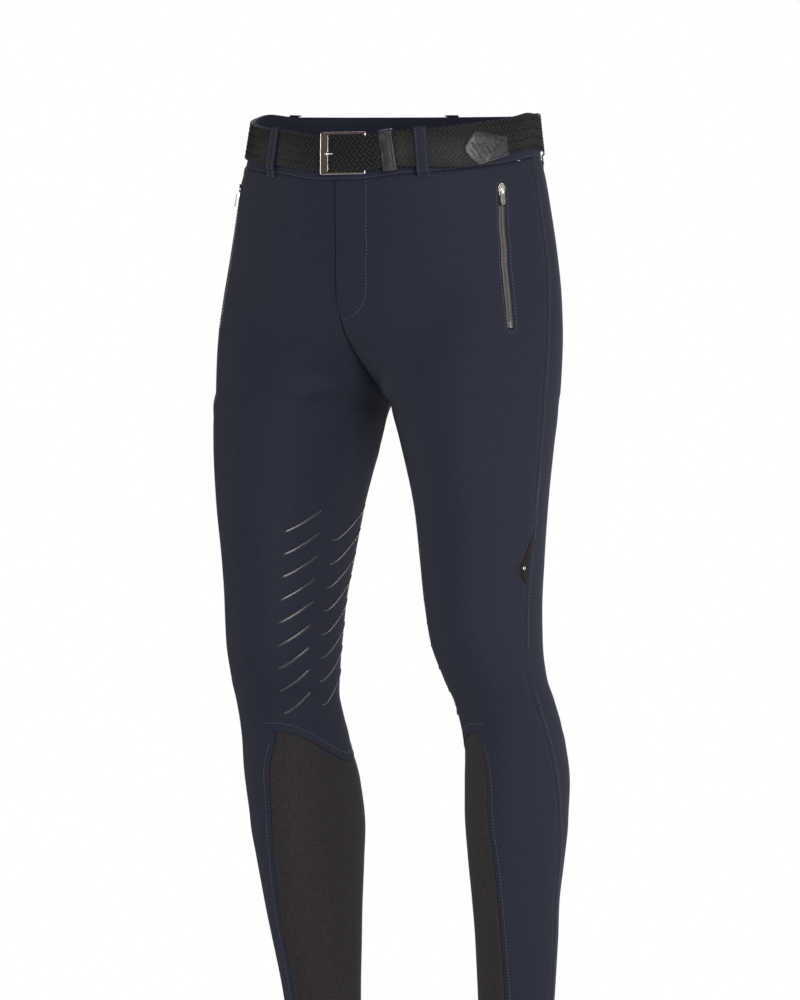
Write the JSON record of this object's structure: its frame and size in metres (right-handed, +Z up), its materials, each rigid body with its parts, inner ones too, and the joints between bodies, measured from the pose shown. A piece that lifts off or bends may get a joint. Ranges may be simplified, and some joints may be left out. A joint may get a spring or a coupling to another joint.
{
  "type": "riding breeches",
  "caption": "Men's knee-grip riding breeches, filled out as worn, with zip pockets, raised grip bars up the inner knee, and a braided elastic belt with a metal buckle.",
  "frame": {"origin": "the middle of the waist, half way up the belt, where the wearer's waist holds the garment up", "axes": "+Z up, the wearer faces -Y, and +X is the wearer's left"},
  "size_m": [0.3688, 0.2421, 0.9485],
  "materials": {
    "navy_cloth": "smooth matte stretch fabric, navy",
    "charcoal_cloth": "thin matte stretch fabric, brownish charcoal",
    "braided_elastic": "braided elastic cord, black",
    "black_leather": "grained, semi-gloss, stitched",
    "polished_metal": "polished",
    "satin_metal": "satin grey",
    "coated_tape": "coated zip tape, dark grey",
    "dark_insert": "matte, brownish black"
  },
  "bodies": {
    "root": {"back_panel_left": "navy_cloth", "back_panel_right": "navy_cloth", "belt_chape": "black_leather", "belt_keeper": "black_leather", "belt_loop_back": "navy_cloth", "belt_loop_front_left": "navy_cloth", "belt_loop_front_right": "navy_cloth", "belt_loop_side_left": "navy_cloth", "belt_loop_side_right": "navy_cloth", "belt_strap": "braided_elastic", "belt_tip_tab": "black_leather", "buckle_frame": "polished_metal", "buckle_prong": "polished_metal", "calf_panel_left": "charcoal_cloth", "calf_panel_right": "charcoal_cloth", "front_panel_left": "navy_cloth", "front_panel_right": "navy_cloth", "pocket_slider_left": "polished_metal", "pocket_slider_right": "polished_metal", "pocket_tape_left": "coated_tape", "pocket_tape_right": "coated_tape", "thigh_insert_left": "dark_insert", "thigh_insert_right": "dark_insert", "thigh_stud": "satin_metal", "waistband": "navy_cloth"},
    "pull_left": {"pocket_pull_left": "satin_metal"},
    "pull_right": {"pocket_pull_right": "satin_metal"}
  },
  "joints": [
    {"name": "pull_left_swing", "type": "hinge", "parent": "root", "child": "pull_left", "pos_m": [0.15317, -0.05109, -0.06077], "axis": [-0.5506, -0.8344, 0.0246], "range_deg": [0, 170]},
    {"name": "pull_right_swing", "type": "hinge", "parent": "root", "child": "pull_right", "pos_m": [-0.15317, -0.05109, -0.06077], "axis": [-0.5506, 0.8344, -0.0246], "range_deg": [0, 170]}
  ]
}
